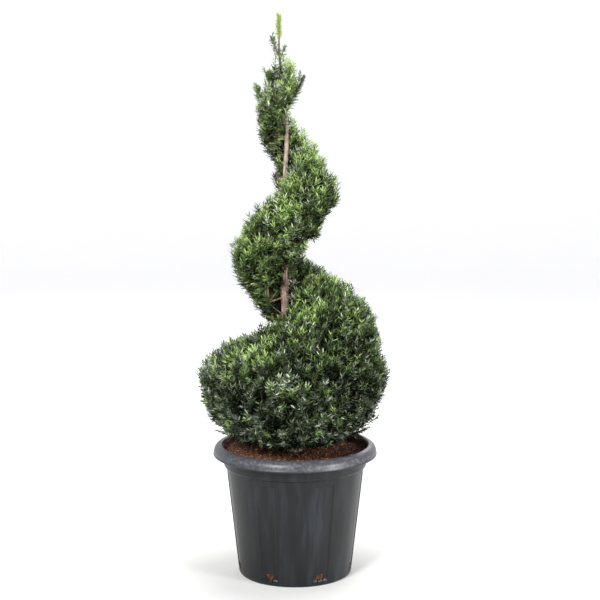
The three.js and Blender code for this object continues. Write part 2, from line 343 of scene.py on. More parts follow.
# The nursery pot: a tapering wall with flutes, a collar and a rolled rim.
pot = {
    "segments": 168,
    "wall": 0.0032,
    "panels": 7,               # shallow flutes down the wall, one over each drain slot
    "panelTurn": 17.5,         # degrees of the wall that a flute takes
    "panelLow": 0.011,
    "panelDrop": 0.012,        # from the collar's step to the top of a flute
    "panelArch": 0.012,        # how far a flute's top corners are rounded down
    "panelSteps": [(0.0018, -0.0014), (0.0014, -0.0009)],   # width and depth of each inset
    "slotWidth": 0.02,
    "slotLow": 0.0145,
    "slotHeight": 0.015,
    "slitWidth": 0.0022,
    "slitLow": 0.0085,
    "slitInset": 0.0028,       # from a slot's end to the middle of its slit
    "nub": (-38, 0.2665, 0.0022),   # a moulded nub: degrees round, height and radius
    # Steps of the outline: out from the foot, the collar or the rim, and up from the foot, the
    # wall's top, the rim's lower edge or its top.
    "footLine": [(-0.006, 0), (-0.0022, 0.0006), (-0.0006, 0.0024)],
    "collarLine": [(-0.0018, 0.0012), (-0.0004, 0.003), (0, 0.007)],
    "underRimLine": [(0.0012, -0.005), (0.002, -0.001), (0.004, 0.0002)],
    "rimLine": [(-0.0045, -0.0004), (-0.0022, -0.0016), (-0.0006, -0.0008), (0, 0.001),
                (-0.0004, 0.0028), (-0.0012, 0.0042), (-0.0014, 0.008), (-0.0024, 0.0125),
                (-0.0046, 0.017), (-0.008, 0.0207), (-0.012, 0.0231)],
    "topLine": [(-0.0158, -0.0006), (-0.0185, -0.0001), (-0.0206, -0.001), (-0.0218, -0.0032),
                (-0.0224, -0.008)],
    "insideLevels": (0.2, 0.12, 0.05, 0.006),
}


def outerRadius(low, high):
    points = nodePoints("pot")
    band = points[(points[:, 2] >= low) & (points[:, 2] <= high)]
    return lengthOf(band[:, :2]).max()


def readPot():
    # The pot's driving sizes, read from its solid.
    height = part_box("pot")[1].z
    levels = np.unique(nodePoints("pot")[:, 2].round(4))
    wallTop = max(z for z in levels if z < 0.84 * height)
    skirtLow = min(z for z in levels if z > 0.9 * height)
    return {
        "height": height,
        "foot": outerRadius(0.003, 0.006),
        "wallTop": wallTop,
        "wall": outerRadius(wallTop - 0.0005, wallTop + 0.0005),
        "skirtLow": skirtLow,
        "collar": outerRadius(wallTop + 0.002, wallTop + 0.01),
        "rim": outerRadius(skirtLow + 0.002, height),
    }


potSizes = readPot()
print("pot sizes", {key: round(float(value), 4) for key, value in potSizes.items()})


def wallRadius(height):
    return mix(potSizes["foot"], potSizes["wall"], height / potSizes["wallTop"])


def potOutline():
    # Radius and height of every ring: up the outside, over the rolled rim, down the inside.
    foot, top, wallTop = potSizes["foot"], potSizes["height"], potSizes["wallTop"]
    collar, rim, skirt = potSizes["collar"], potSizes["rim"], potSizes["skirtLow"]
    heights = [*np.arange(0.006, 0.034, 0.007), *np.arange(0.036, wallTop - 0.036, 0.0115),
               *np.arange(wallTop - 0.034, wallTop - 0.003, 0.0034)]

    def stepped(line, radius, height):
        return [(radius + out, height + rise) for out, rise in pot[line]]

    outline = stepped("footLine", foot, 0) + [(wallRadius(z), z) for z in heights]
    outline += [(wallRadius(wallTop), wallTop - 0.001), (wallRadius(wallTop) + 0.0016, wallTop)]
    outline += stepped("collarLine", collar, wallTop) + stepped("underRimLine", collar, skirt)
    outline += stepped("rimLine", rim, skirt) + stepped("topLine", rim, top)
    outline += [(rim - 0.0226, soilLevel), (collar - pot["wall"], skirt - 0.002),
                (potSizes["wall"] - pot["wall"], wallTop - 0.003)]
    outline += [(wallRadius(z) - pot["wall"], z) for z in pot["insideLevels"]]
    return outline


def drawRings(outline, segments):
    # A ring of edges is drawn out and scaled from one size to the next.
    radius, height = outline[0]
    bpy.ops.mesh.primitive_circle_add(
        vertices=segments, radius=radius, fill_type="NOTHING", location=(0, 0, height))
    piece = bpy.context.object
    bpy.ops.object.transform_apply()
    bpy.ops.object.mode_set(mode="EDIT")
    bpy.ops.mesh.select_all(action="SELECT")
    bpy.ops.mesh.edge_face_add()
    bpy.ops.mesh.select_mode(type="EDGE")
    for nextRadius, nextHeight in outline[1:]:
        bpy.ops.mesh.extrude_edges_move(
            TRANSFORM_OT_translate={"value": (0, 0, nextHeight - height)})
        grow = nextRadius / radius
        bpy.ops.transform.resize(value=(grow, grow, 1))
        radius, height = nextRadius, nextHeight
    bpy.ops.mesh.edge_face_add()
    bpy.ops.mesh.select_all(action="SELECT")
    bpy.ops.mesh.normals_make_consistent(inside=False)
    bpy.ops.object.mode_set(mode="OBJECT")
    return piece


def roundPot(radius, angle, height):
    # A place at an angle round the pot from its front.
    return radius * math.sin(angle), -radius * math.cos(angle), height


def slotAngles():
    return [(i + 0.5) * 2 * math.pi / pot["panels"] for i in range(pot["panels"])]


def panelOffset(x, y):
    # Degrees round the pot from the middle of the nearest flute.
    step = 360 / pot["panels"]
    angle = math.degrees(math.atan2(x, -y)) - step / 2
    return (angle + step / 2) % step - step / 2


def pick(piece):
    bpy.ops.object.select_all(action="DESELECT")
    piece.select_set(True)
    bpy.context.view_layer.objects.active = piece


def selectFaces(piece, test):
    # Leaves edit mode open, with only the faces that pass the test selected.
    pick(piece)
    bpy.ops.object.mode_set(mode="EDIT")
    bpy.ops.mesh.select_mode(type="FACE")
    bpy.ops.mesh.select_all(action="DESELECT")
    bpy.ops.object.mode_set(mode="OBJECT")
    for face in piece.data.polygons:
        face.select = bool(test(face))
    bpy.ops.object.mode_set(mode="EDIT")


def pressPanels(piece):
    # The faces of each flute are picked by their place, then set in step by step.
    top = potSizes["wallTop"] - pot["panelDrop"]
    half = pot["panelTurn"] / 2

    def inPanel(face):
        x, y, z = face.center
        across = abs(panelOffset(x, y)) / half
        corner = max(0, across - 0.55) / 0.45
        arch = top - pot["panelArch"] * (1 - math.sqrt(max(0, 1 - corner ** 2)))
        onWall = math.hypot(x, y) > wallRadius(z) - 0.0016
        return onWall and across < 1 and pot["panelLow"] < z < arch

    selectFaces(piece, inPanel)
    for thickness, depth in pot["panelSteps"]:
        bpy.ops.mesh.inset(thickness=thickness, depth=depth, use_even_offset=False)
    bpy.ops.mesh.select_all(action="DESELECT")
    bpy.ops.object.mode_set(mode="OBJECT")


def editWhole(piece):
    # Leaves edit mode open, with the whole piece selected.
    pick(piece)
    bpy.ops.object.mode_set(mode="EDIT")
    bpy.ops.mesh.select_all(action="SELECT")


def boxAt(place, size):
    bpy.ops.mesh.primitive_cube_add(size=1, location=place, scale=size)
    bpy.ops.object.transform_apply()
    return bpy.context.object


def slotCutter(angle):
    # A torn-edged drain slot with a slit from each end of it down to the foot.
    depth = 0.03
    reach = potSizes["foot"]
    middle = pot["slotLow"] + pot["slotHeight"] / 2
    hole = boxAt((0, -reach, middle), (pot["slotWidth"], depth, pot["slotHeight"]))
    editWhole(hole)
    bpy.ops.mesh.bevel(offset=0.003, segments=2, affect="EDGES")
    bpy.ops.object.mode_set(mode="OBJECT")
    low, high = pot["slitLow"], pot["slotLow"] + 0.005
    cutters = [hole]
    for end in (-1, 1):
        x = end * (pot["slotWidth"] / 2 - pot["slitInset"])
        cutters.append(boxAt((x, -reach, (low + high) / 2), (pot["slitWidth"], depth, high - low)))
    for cutter in cutters:
        editWhole(cutter)
        bpy.ops.transform.rotate(value=-angle, orient_axis="Z", center_override=(0, 0, 0))
        bpy.ops.object.mode_set(mode="OBJECT")
    return cutters


def cutAway(piece, cutters):
    for cutter in cutters:
        pick(piece)
        cut = piece.modifiers.new("cut", "BOOLEAN")
        cut.operation = "DIFFERENCE"
        cut.solver = "EXACT"
        cut.object = cutter
        bpy.ops.object.modifier_apply(modifier=cut.name)
        bpy.data.objects.remove(cutter)


def makePot():
    piece = drawRings(potOutline(), pot["segments"])
    piece.name = "pot_moulding"
    pressPanels(piece)
    for angle in slotAngles():
        cutAway(piece, slotCutter(angle))
    turn, height, radius = pot["nub"]
    place = roundPot(wallRadius(height), math.radians(turn), height)
    bpy.ops.mesh.primitive_ico_sphere_add(subdivisions=2, radius=radius, location=place)
    bpy.ops.object.transform_apply()
    piece.select_set(True)
    bpy.context.view_layer.objects.active = piece
    bpy.ops.object.join()
    bpy.ops.object.shade_smooth_by_angle(angle=math.radians(38))
    piece.data.materials.append(potMaterial())
    settle(piece, ["pot"])
    print("pot", len(piece.data.polygons), "faces")


makePot()


# Compost fills the pot, and crumbs lie on it and behind the drain slots.
compost = {
    "segments": 150,
    "ringStep": 0.0022,
    "clod": 0.016,             # size of the soft lumps, and how high they stand
    "clodHeight": 0.0035,
    "crumb": 0.005,
    "crumbHeight": 0.0016,
    "grains": 9000,
    "grainSize": (0.0009, 0.0027),
    "slotGrains": 26,
    "bank": 0.0145,            # how high the compost is banked up against the rim
    "crumbTones": {
        "dark": ("#241610", "#3a241a", "#4d3324"),
        "brown": ("#4a2d1f", "#6a4430", "#855a40"),
        "fibre": ("#80573c", "#a57c59", "#c09a74"),
    },
}


soilEdge = potSizes["rim"] - 0.0229     # radius at which the compost meets the rim's inside


def soilHeight(x, y):
    lumps = noise.noise(Vector((x, y, 1.7)) / compost["clod"]) * compost["clodHeight"]
    crumbs = noise.noise(Vector((x, y, 5.1)) / compost["crumb"]) * compost["crumbHeight"]
    banked = compost["bank"] * smoothStep(soilEdge - 0.0065, soilEdge, math.hypot(x, y))
    return soilLevel - 0.002 + lumps + crumbs + banked


def makeSoil():
    foot = wallRadius(0.006) - pot["wall"] - 0.0006
    inside = potSizes["wall"] - pot["wall"] - 0.0006
    outline = [(foot, 0.0066), (mix(foot, inside, 0.5), 0.14),
               (inside, potSizes["wallTop"] - 0.005),
               (potSizes["collar"] - pot["wall"] - 0.001, potSizes["skirtLow"] - 0.002),
               (soilEdge, soilLevel - 0.0028)]
    outline += [(r, soilLevel) for r in np.arange(soilEdge - 0.001, 0.003, -compost["ringStep"])]
    piece = drawRings(outline, compost["segments"])
    piece.name = "potting_compost"
    for vertex in piece.data.vertices:
        if vertex.co.z > soilLevel - 0.0031:
            vertex.co.z = soilHeight(vertex.co.x, vertex.co.y)
    bpy.ops.object.shade_smooth()
    piece.data.materials.append(
        compostMaterial("compost_peat_and_bark", "#2b1a12", "#553424", "#8a6147"))
    settle(piece, ["soil"])


def scatterGrains():
    # Crumbs are lumpy eight-sided grains, dealt out into three colours.
    generator = np.random.default_rng(41)
    turn = generator.uniform(0, 2 * math.pi, compost["grains"])
    reach = (soilEdge - 0.001) * np.sqrt(generator.uniform(0, 1, compost["grains"]))
    places = [(r * math.cos(a), r * math.sin(a)) for r, a in zip(reach, turn)]
    lying = np.array([(x, y, soilHeight(x, y)) for x, y in places])
    slots = []
    for middle in slotAngles():
        for _ in range(compost["slotGrains"]):
            r = wallRadius(0.02) - pot["wall"] - generator.uniform(0, 0.002)
            a = middle + generator.normal(0, 0.4) * pot["slotWidth"] / r
            z = generator.uniform(pot["slotLow"], pot["slotLow"] + pot["slotHeight"])
            slots.append(roundPot(r, a, z))
    middles = np.concatenate([lying, slots])
    count = len(middles)
    low, high = compost["grainSize"]
    sizes = mix(low, high, generator.uniform(0, 1, (count, 1)) ** 2.2)
    stretch = generator.uniform(0.6, 1.5, (count, 3)) * sizes
    axes = np.linalg.qr(generator.normal(size=(count, 3, 3)))[0]
    corners = np.array([[1, 0, 0], [-1, 0, 0], [0, 1, 0], [0, -1, 0], [0, 0, 1], [0, 0, -1]], float)
    jitter = corners[None] + generator.normal(0, 0.22, (count, 6, 3))
    points = np.einsum("nij,nkj->nki", axes, jitter * stretch[:, None]) + middles[:, None]
    faces = np.array([[0, 2, 4], [2, 1, 4], [1, 3, 4], [3, 0, 4],
                      [2, 0, 5], [1, 2, 5], [3, 1, 5], [0, 3, 5]])
    handed = np.linalg.det(axes) < 0
    kinds = generator.choice(3, count, p=[0.42, 0.4, 0.18])
    for kind, (word, tones) in enumerate(compost["crumbTones"].items()):
        chosen = kinds == kind
        shape = points[chosen]
        turned = np.where(handed[chosen][:, None, None], faces[None, :, ::-1], faces[None])
        triangles = turned + (np.arange(len(shape)) * 6)[:, None, None]
        material = compostMaterial(f"compost_crumbs_{word}", *tones)
        piece = meshPiece(f"compost_crumbs_{word}", shape.reshape(-1, 3),
                          triangles.reshape(-1, 3), material)
        settle(piece)
    print("compost with", count, "crumbs")


makeSoil()
scatterGrains()


# The stem runs from the compost to the leader's tip, and boughs cross the open groove.
stem = {
    "sides": 26,
    "ringStep": 0.0034,
    "ridges": 0.055,           # share of the radius that the bark's ridges stand
    "ridgeLength": 0.03,
    "collarSwell": 0.1,        # swelling where a bough leaves
    "collarLength": 0.008,
}
bough = {"sides": 12, "rings": 26, "ridges": 0.08, "sink": 0.012}


def limbAxis(name):
    # Middles and radii along a bough's solid, from the stem outwards.
    points = nodePoints(name)
    middle = points.mean(0)
    way = np.linalg.svd(points - middle, full_matrices=False)[2][0]
    outwards = middle - stemAt(middle[2])
    if way @ outwards < 0:
        way = -way
    along = (points - middle) @ way
    places = np.linspace(along.min(), along.max(), 5)
    bent = np.polyfit(along, points, 2)
    axis = places[:, None] ** 2 * bent[0] + places[:, None] * bent[1] + bent[2]
    return axis, np.quantile(lengthOf(np.cross(points - middle, way)), 0.5)


boughAxes = [limbAxis(name) for name in nodesNamed("bough_")]


def barkRelief(paths, sides, ridges, seed):
    # A factor on the radius at each point of a limb: long ridges with a finer flake on them.
    turn = np.arange(sides) * 2 * math.pi / sides
    factor = np.empty((*paths.shape[:2], sides))
    for i, path in enumerate(paths):
        run = np.concatenate([[0], np.cumsum(lengthOf(np.diff(path, axis=0)))])
        for j, length in enumerate(run):
            for k, angle in enumerate(turn):
                ring = Vector((math.cos(angle) * 1.6, math.sin(angle) * 1.6, 0))
                broad = noise.noise(ring + Vector((0, 0, length / stem["ridgeLength"] + seed + i)))
                fine = noise.noise(ring * 2.6 + Vector((0, 0, length / 0.009 + 3 * seed + i)))
                factor[i, j, k] = 1 + ridges * (1.5 * broad + 0.9 * fine)
    return factor


def makeStem():
    heights = np.arange(stemRows[0, 0] - 0.004, stemTop, stem["ringStep"])
    path = stemAt(np.maximum(heights, stemRows[0, 0]))
    path[:, 2] = heights
    radii = stemRadius(heights)
    for axis, _ in boughAxes:
        gap = (heights - axis[0][2]) / stem["collarLength"]
        radii = radii * (1 + stem["collarSwell"] * np.exp(-gap ** 2))
    relief = barkRelief(path[None], stem["sides"], stem["ridges"], 2)
    fade = smoothStep(stemTop, stemTop - 0.25, heights)[None, :, None]
    points, triangles = tubes(path[None], radii[None], stem["sides"], 1 + (relief - 1) * fade)
    piece = meshPiece("stem_bark", points, triangles, stemFinish, smooth=True)
    settle(piece, ["stem"])


def makeBoughs():
    paths, radii = [], []
    for axis, radius in boughAxes:
        start = axis[0] + unit(axis[0] - axis[1]) * bough["sink"]
        paths.append(curved(start[None], axis[2][None], axis[-1][None], bough["rings"])[0])
        radii.append(np.linspace(radius * 0.5, radius * 0.22, bough["rings"]))
    paths, radii = np.array(paths), np.array(radii)
    relief = barkRelief(paths, bough["sides"], bough["ridges"], 9)
    points, triangles = tubes(paths, radii, bough["sides"], relief)
    piece = meshPiece("bough_bark", points, triangles, barkFinish, smooth=True)
    settle(piece, nodesNamed("bough_"))
    print("stem and", len(boughAxes), "boughs")


makeStem()
makeBoughs()


foliage = {
    # Each layer's shoots, their spacing, how far their ends stand from the clipped surface, its
    # seed, the share of needleGap that its needles keep, and the faces of a needle.
    "layers": {
        "outer": (5200, 0.0088, (-0.016, 0.005), 11, 1, 4),
        "inner": (1700, 0.014, (-0.042, -0.024), 12, 1.35, 4),
        "deep": (1000, 0.016, (-0.09, -0.05), 13, 1.5, 2),
    },
    "lump": 0.024,                     # size and height of the lumps that sprays gather in
    "lumpHeight": 0.009,
    "shootLength": (0.026, 0.046),
    "sprayReach": 0.011,               # how far the last needles pass a shoot's end
    "needleGap": 0.0012,               # along a shoot, from one needle to the next
    "needleLength": 0.015,
    "needleWidth": 0.0021,
    "needleAngles": (80, 38),          # degrees from the shoot, at its foot and at its end
    "underLift": 0.004,                # how much higher sprays end under an overhang
    "openAtTop": 0.48,                 # share of the shoots that the thin top carries
    "longerAtTop": 1.5,
    "droop": 0.026,                    # how far the lowest sprays hang out past the clipped face
    "droopLevels": (0.45, 0.39),       # it sets in down from here, and out from the stem
    "droopReach": (0.12, 0.17),
    "droopAcross": (-0.08, 0.1),       # from left to right it falls to this share
    "droopRight": 0.3,
    # How far above the compost shoots end near the stem and out from it, start, and end needles.
    "tipClear": (0.012, 0.02),
    "tipClearReach": (0.08, 0.12),
    "footClear": 0.004,
    "needleClear": 0.002,
    "topFrom": 1.13,
    # Where sprays are painted darker or lighter than their place would make them, as painted shade
    # and painted light: middle, size, steps.
    "paintedLightSpots": [((0.09, -0.12, 0.61), 0.1, -0.9), ((-0.09, -0.08, 0.785), 0.09, 0.9)],
    "pieceLimit": 190000,              # triangles in one piece
}

# Long shoots that stand out of a mass, each with a way in which its solid's own spike is the
# furthest point, the way it grows, its length, its needles' length and their kind.
spikes = {
    "coil_mass_8": ((-0.9, 0, 0.45), (-0.42, 0, 0.9), 0.085, 0.0175, "fresh"),
    "coil_mass_9": ((-0.75, -0.25, 0.6), (-0.4, -0.15, 0.9), 0.05, 0.012, "fresh"),
    "coil_mass_11": ((0.75, -0.2, 0.6), (0.45, 0, 0.9), 0.075, 0.0105, "mid"),
}
spikeRoom = 0.036     # no other spray ends this near to a spike's tip

massNames = nodesNamed("base_mass") + nodesNamed("coil_mass")


def solidTree(name):
    triangles = nodeTriangles(name)
    points = [Vector(p) for p in triangles.reshape(-1, 3)]
    faces = [(3 * i, 3 * i + 1, 3 * i + 2) for i in range(len(triangles))]
    return BVHTree.FromPolygons(points, faces)


def spikeTip(name):
    points = nodePoints(name)
    return points[(points @ np.array(spikes[name][0])).argmax()]


spikeTips = {name: spikeTip(name) for name in spikes}
massTrees = [solidTree(name) for name in massNames]
massBoxes = [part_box(name) for name in massNames]


def isInside(index, point):
    low, high = massBoxes[index]
    if any(point[i] < low[i] or point[i] > high[i] for i in range(3)):
        return False
    place, normal, _, _ = massTrees[index].find_nearest(point)
    return (point - place).dot(normal) < 0


def insideAny(owner, point):
    place = Vector(point)
    return isInside(owner, place) or any(isInside(i, place) for i in range(len(massNames)))


def keepInside(owner, tips, ways, lengths):
    # A shoot whose foot would stand outside every mass is shortened, and else left out.
    lengths = lengths.copy()
    for i, tip in enumerate(tips):
        shares = [s for s in (1, 0.7, 0.45) if insideAny(owner[i], tip - ways[i] * lengths[i] * s)]
        lengths[i] *= shares[0] if shares else 0
    return lengths, lengths > 0


def scatterShoots(count, spacing, depths, generator):
    # Places over the clipped faces, none nearer to another than the spacing, then moved along
    # the face's normal. Faces that meet a neighbour, the stem or the soil take none.
    corners = [nodeTriangles(name) for name in massNames]
    owners = np.repeat(np.arange(len(corners)), [len(c) for c in corners])
    corners = np.concatenate(corners)
    cross = np.cross(corners[:, 1] - corners[:, 0], corners[:, 2] - corners[:, 0])
    area = lengthOf(cross) / 2
    normals = unit(cross)
    middles = corners.mean(1)
    atWall = reachOf(middles) < 1.16 * stemRadius(middles[:, 2]) + 0.003
    atSoil = (middles[:, 2] < soilLevel + 0.004) & (normals[:, 2] < -0.6)
    area[atWall | atSoil] = 0
    area *= mix(1, foliage["openAtTop"], smoothStep(foliage["topFrom"], 1.24, middles[:, 2]))
    tries = count * 9
    chosen = generator.choice(len(area), tries, p=area / area.sum())
    shares = generator.dirichlet((1, 1, 1), tries)
    places = (corners[chosen] * shares[:, :, None]).sum(1)
    moves = generator.uniform(*depths, tries)
    lumps = patches(places, foliage["lump"], 8)
    moves += foliage["lumpHeight"] * lumps
    thin = generator.uniform(-0.8, -0.08, tries)
    kept, grid = [], {}
    for k in range(tries):
        if lumps[k] < thin[k] and depths[1] > -0.02:
            continue
        place, normal = Vector(places[k]), Vector(normals[chosen[k]])
        cell = tuple(int(c // spacing) for c in place)
        near = [grid.get((cell[0] + i, cell[1] + j, cell[2] + m), ()) for i in (-1, 0, 1)
                for j in (-1, 0, 1) for m in (-1, 0, 1)]
        if any((place - other).length < spacing for group in near for other in group):
            continue
        owner = owners[chosen[k]]
        spike = spikeTips.get(massNames[owner])
        if spike is not None and (place - Vector(spike)).length < spikeRoom:
            continue
        beyond = place + normal * 0.007
        if any(isInside(i, beyond) for i in range(len(massNames)) if i != owner):
            continue
        tip = place + normal * moves[k]
        if moves[k] < -0.01 and not isInside(owner, tip):
            continue
        grid.setdefault(cell, []).append(place)
        kept.append((owner, tip, normal))
        if len(kept) == count:
            break
    owner = np.array([k[0] for k in kept])
    tips = np.array([k[1] for k in kept])
    facing = np.array([k[2] for k in kept])
    return owner, tips, facing


def shootWays(tips, facing, generator):
    # Shoots reach up and outwards. Under an overhang they turn outwards and hang a little.
    loose = unit(generator.normal(size=tips.shape))
    steep = smoothStep(foliage["topFrom"] - 0.1, 1.22, tips[:, 2])[:, None]
    rising = mix(0.6, 0.3, steep) * facing + mix(0.7, 1.1, steep) * up + 0.42 * loose
    hanging = mix(0.7, 0.3, steep) * outwardsAt(tips) + 0.35 * facing + mix(0.3, 0.9, steep) * up
    hanging = hanging + 0.3 * loose
    under = smoothStep(-0.15, -0.6, facing[:, 2])[:, None]
    return unit(mix(unit(rising), unit(hanging), under))


# Each ladder runs from dark to light: its lowest steps are painted shade, and the low ladder's top
# step is a painted highlight.
ladders = {
    "sunny": ["deep", "shade", "mid", "fresh", "tip"],
    "low": ["deep", "shade", "low", "low", "pale_highlight"],
}


def dealSprays(tips, facing, layer, generator):
    # Each spray's step on a ladder of colours, and whether it is on the duller low one: fresh
    # growth is on the sunny shoulders and ridges, and painted light and painted shade step it too.
    count = len(tips)
    height = (tips[:, 2] - soilLevel) / (stemTop - soilLevel)
    dull = 0.3 * smoothStep(0.1, 0.7, patches(tips, 0.05, 17))
    low = generator.uniform(0, 1, count) < smoothStep(0.34, 0.1, height) * 0.65 + 0.06 + dull
    # The deep and inner layers take the darkest steps as painted shade.
    if layer == "deep":
        return generator.choice([0, 1], count, p=[0.8, 0.2]), low
    if layer == "inner":
        return generator.choice([0, 1, 2], count, p=[0.4, 0.45, 0.15]), low
    # Sprays that face up or stand high on the plant step lighter, partly fresh growth and partly
    # painted light; the patches are random tone.
    value = 1.72 + 0.6 * facing[:, 2] + 1.15 * patches(tips, 0.065, 3)
    value += 0.35 * smoothStep(0.1, 0.4, height) + 1.1 * smoothStep(0.5, 0.85, height)
    # Each spot steps its sprays darker as painted shade or lighter as painted light.
    for place, size, change in foliage["paintedLightSpots"]:
        value += change * np.exp(-(lengthOf(tips - place) / size) ** 2)
    value += generator.normal(0, 0.45, count)
    return np.clip(value.round(), 1, 4).astype(int), low


def dealNeedles(steps, low, shoot, t, generator):
    # A spray's own needles are a step lighter or darker at random, darker towards the shoot's foot
    # as painted shade inside the spray, and lighter towards its end where growth is fresh.
    drift = generator.normal(0, 0.65, len(t)) + 3.6 * (t - 0.7)
    step = np.clip(steps[shoot] + drift.round(), 0, 4).astype(int)
    return np.where(low[shoot], np.array(ladders["low"])[step], np.array(ladders["sunny"])[step])


def growNeedles(feet, ways, lengths, generator, gap, needleLengths, closed=None, faces=4):
    # Needles stand all round an upright shoot and lie in two ranks along a level one.
    count = len(feet)
    bends = up * lengths[:, None] * 0.12 + generator.normal(0, 0.05, (count, 3)) * lengths[:, None]
    numbers = np.maximum(6, lengths / gap).astype(int)
    shoot = np.repeat(np.arange(count), numbers)
    order = np.concatenate([np.arange(n) for n in numbers])
    t = (order + 0.5) / numbers[shoot]
    t = 0.1 + 0.9 * t + generator.normal(0, 0.01, len(t))
    run = lengths[shoot][:, None]
    base = feet[shoot] + ways[shoot] * run * t[:, None] + bends[shoot] * t[:, None] ** 2
    along = unit(ways[shoot] * run + 2 * bends[shoot] * t[:, None])
    sideways = unit(np.cross(ways, up) + generator.normal(0, 0.22, (count, 3)))[shoot]
    side = unit(sideways - along * (sideways * along).sum(1, keepdims=True))
    other = np.cross(along, side)
    phase = generator.uniform(0, 2 * math.pi, count)[shoot] + order * 2.39996
    ranked = 0.85 * smoothStep(0.95, 0.5, ways[:, 2])[shoot]
    phase = phase - 0.5 * ranked * np.sin(2 * phase)
    spoke = side * np.cos(phase)[:, None] + other * np.sin(phase)[:, None]
    opening = mix(*foliage["needleAngles"], t ** 2.2) * (1 if closed is None else 1 - closed[shoot])
    opening = np.radians(opening + generator.normal(0, 12, len(t)))
    way = along * np.cos(opening)[:, None] + spoke * np.sin(opening)[:, None]
    size = needleLengths[shoot] * (0.62 + 0.4 * np.sin(math.pi * (0.12 + 0.72 * t)))
    size = (size * generator.uniform(0.82, 1.12, len(t)))[:, None]
    flat = unit(np.cross(along, way))
    roll = generator.normal(0, 0.35, len(t))[:, None]
    flat = flat * np.cos(roll) + np.cross(way, flat) * np.sin(roll)
    half = flat * foliage["needleWidth"] * 0.5 * generator.uniform(0.85, 1.15, len(t))[:, None]
    bow = along * size
    low = base + way * size * 0.28
    high = base + way * size * 0.74 + bow * 0.05
    tip = base + way * size + bow * 0.13
    if faces == 4:
        points = np.stack([base, low - half, low + half, high - half * 0.85, high + half * 0.85,
                           tip], axis=1)
        shape = np.array([[0, 1, 2], [1, 3, 4], [1, 4, 2], [3, 5, 4]])
    else:
        points = np.stack([base, low - half * 1.3, low + half * 1.3, tip], axis=1)
        shape = np.array([[0, 1, 2], [1, 3, 2]])
    return points, shape, shoot, t, bends


needleStore = {}     # needles of each kind, kept apart until every layer has grown
shoots = []          # feet, ways, lengths, bends and owners of each layer's shoots


def storeNeedles(kinds, points, shape):
    for kind in np.unique(kinds):
        needleStore.setdefault(str(kind), []).append((points[kinds == kind], shape))


def buildNeedles():
    total = 0
    for kind, parts in sorted(needleStore.items()):
        triangles, points, start = [], [], 0
        for shapes, faces in parts:
            starts = start + np.arange(len(shapes)) * shapes.shape[1]
            triangles.append((faces[None] + starts[:, None, None]).reshape(-1, 3))
            points.append(shapes.reshape(-1, 3))
            start += shapes.shape[0] * shapes.shape[1]
        triangles, points = np.concatenate(triangles), np.concatenate(points)
        total += len(triangles)
        shares = math.ceil(len(triangles) / foliage["pieceLimit"])
        for i, part in enumerate(np.array_split(triangles, shares)):
            used, index = np.unique(part, return_inverse=True)
            name = f"needles_{kind}" + (f"_{i + 1}" if shares > 1 else "")
            piece = meshPiece(name, points[used], index.reshape(-1, 3), needleMaterials[kind])
            settle(piece)
            print(name, len(part), "triangles")
    print("needles in all", total, "triangles")


def growLayer(layer, count, spacing, depths, seed, gapShare, faces):
    generator = np.random.default_rng(seed)
    owner, tips, facing = scatterShoots(count, spacing, depths, generator)
    ways = shootWays(tips, facing, generator)
    lengths = generator.uniform(*foliage["shootLength"], len(tips))
    lengths *= mix(1, foliage["longerAtTop"], smoothStep(foliage["topFrom"], 1.2, tips[:, 2]))
    droop = foliage["droop"] * smoothStep(*foliage["droopLevels"], tips[:, 2])
    droop = droop * smoothStep(*foliage["droopReach"], reachOf(tips))
    droop *= mix(1, foliage["droopRight"], smoothStep(*foliage["droopAcross"], tips[:, 0]))
    lengths += droop
    tips = tips + outwardsAt(tips) * droop[:, None]
    under = smoothStep(-0.1, -0.5, facing[:, 2])[:, None]
    tips = tips - ways * foliage["sprayReach"] - facing * under * foliage["underLift"]
    lengths, kept = keepInside(owner, tips, ways, lengths)
    apart = smoothStep(*foliage["tipClearReach"], reachOf(tips))
    kept &= tips[:, 2] > soilLevel + mix(*foliage["tipClear"], apart)
    owner, tips, facing = owner[kept], tips[kept], facing[kept]
    ways, lengths = ways[kept], lengths[kept]
    feet = tips - ways * lengths[:, None]
    feet[:, 2] = np.maximum(feet[:, 2], soilLevel + foliage["footClear"])
    steps, low = dealSprays(tips, facing, layer, generator)
    sizes = np.full(len(feet), foliage["needleLength"])
    points, shape, shoot, t, bends = growNeedles(
        feet, ways, lengths, generator, foliage["needleGap"] * gapShare, sizes, faces=faces)
    kinds = dealNeedles(steps, low, shoot, t, generator)
    clear = points[..., 2].min(1) > soilLevel + foliage["needleClear"]
    storeNeedles(kinds[clear], points[clear], shape)
    shoots.append((feet, ways, lengths, bends, owner))
    print(layer, "layer:", len(tips), "shoots,", clear.sum(), "needles")


for layer, values in foliage["layers"].items():
    growLayer(layer, *values)


# The leader's tuft, the side shoots under it, and the shoots that stand out of the clipped faces
# or sprout on a bough.
leader = {
    "gap": 0.0008,
    "needleLength": 0.0115,
    "tuftShoots": 8,
    "tuftLength": 0.017,
    "sideNeedles": 0.014,
    "sideDrops": (0.011, 0.016),   # how far each side shoot sits below its solid
    "boughShoots": 4,
    "spikeDrop": 0.02,             # from a spike's end to the end of its middle shoot
}


